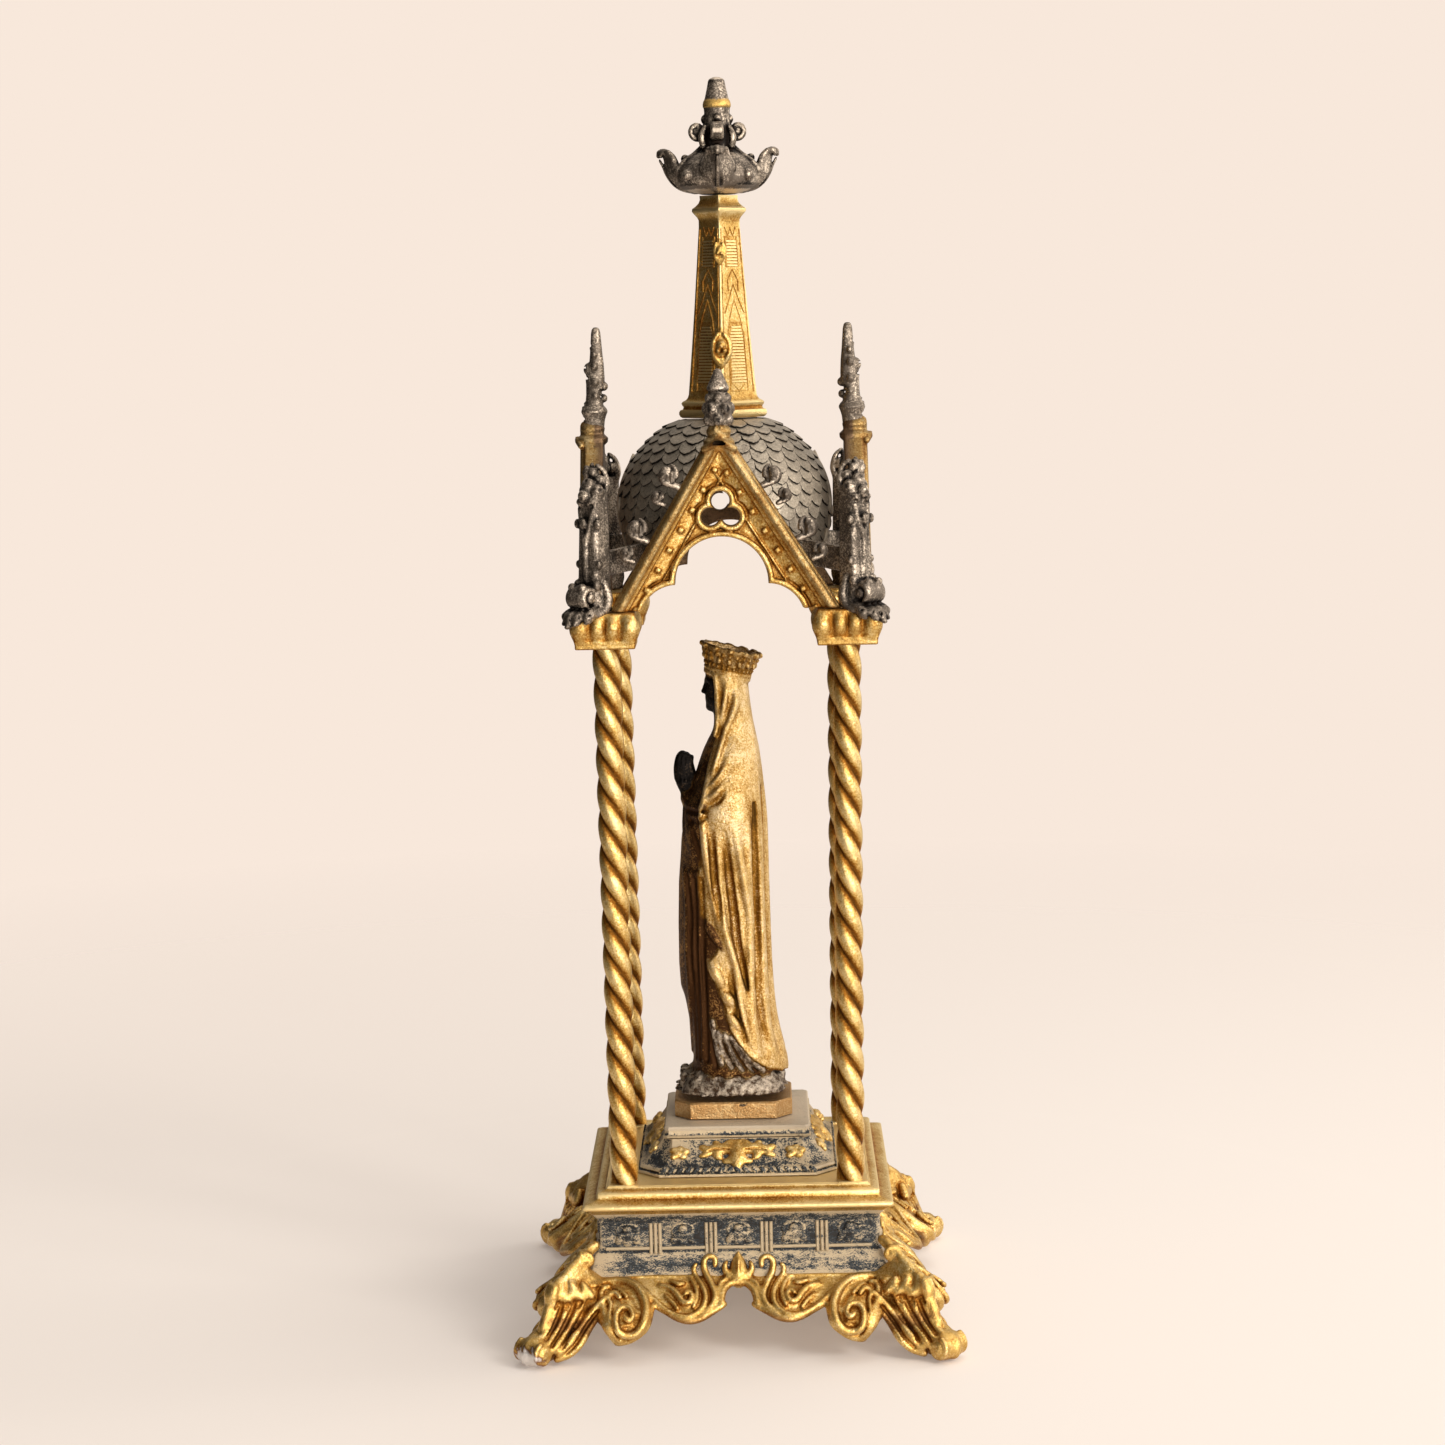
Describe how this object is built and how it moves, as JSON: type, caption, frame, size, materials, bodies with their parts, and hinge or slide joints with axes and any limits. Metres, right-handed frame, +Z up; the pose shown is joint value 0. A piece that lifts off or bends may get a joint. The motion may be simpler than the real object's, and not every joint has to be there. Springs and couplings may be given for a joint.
{
  "type": "devotional canopy shrine with a praying figure",
  "caption": "Free-standing gilt Gothic canopy shrine: a crowned praying figure on a pedestal under a pierced, domed and spired canopy on twisted columns.",
  "frame": {"origin": "on the ground, in the middle of the four feet", "axes": "+Z up, +X to the right, the front looks along -Y; the figure inside faces -X"},
  "size_m": [0.1622, 0.1622, 0.4599],
  "materials": {
    "gilt": "worn bright gilding on cast metal, brown in the hollows",
    "old_gilt": "rubbed gilding with dark brown patina in the relief",
    "patina": "dark brown-grey patina with silver-grey rubbed edges",
    "dome_slate": "grey-brown dull patina, dark in the joints of the tiles",
    "cove_paint": "gilt plate, apron and feet round a worn blue-grey painted cove",
    "statue_gilt": "soft worn gilding with bronze-brown wear on the gown, hands and face"
  },
  "bodies": {
    "root": {"base": "cove_paint", "pedestal": "patina", "column_front_left": "gilt", "column_front_right": "gilt", "column_rear_left": "gilt", "column_rear_right": "gilt", "capital_front_left": "gilt", "capital_front_right": "gilt", "capital_rear_left": "gilt", "capital_rear_right": "gilt", "gable_front": "old_gilt", "gable_right": "old_gilt", "gable_rear": "old_gilt", "gable_left": "old_gilt", "bracket_front_left": "patina", "bracket_front_right": "patina", "bracket_rear_left": "patina", "bracket_rear_right": "patina", "dome": "dome_slate", "spire": "gilt", "finial": "patina", "statue": "statue_gilt"}
  },
  "joints": []
}
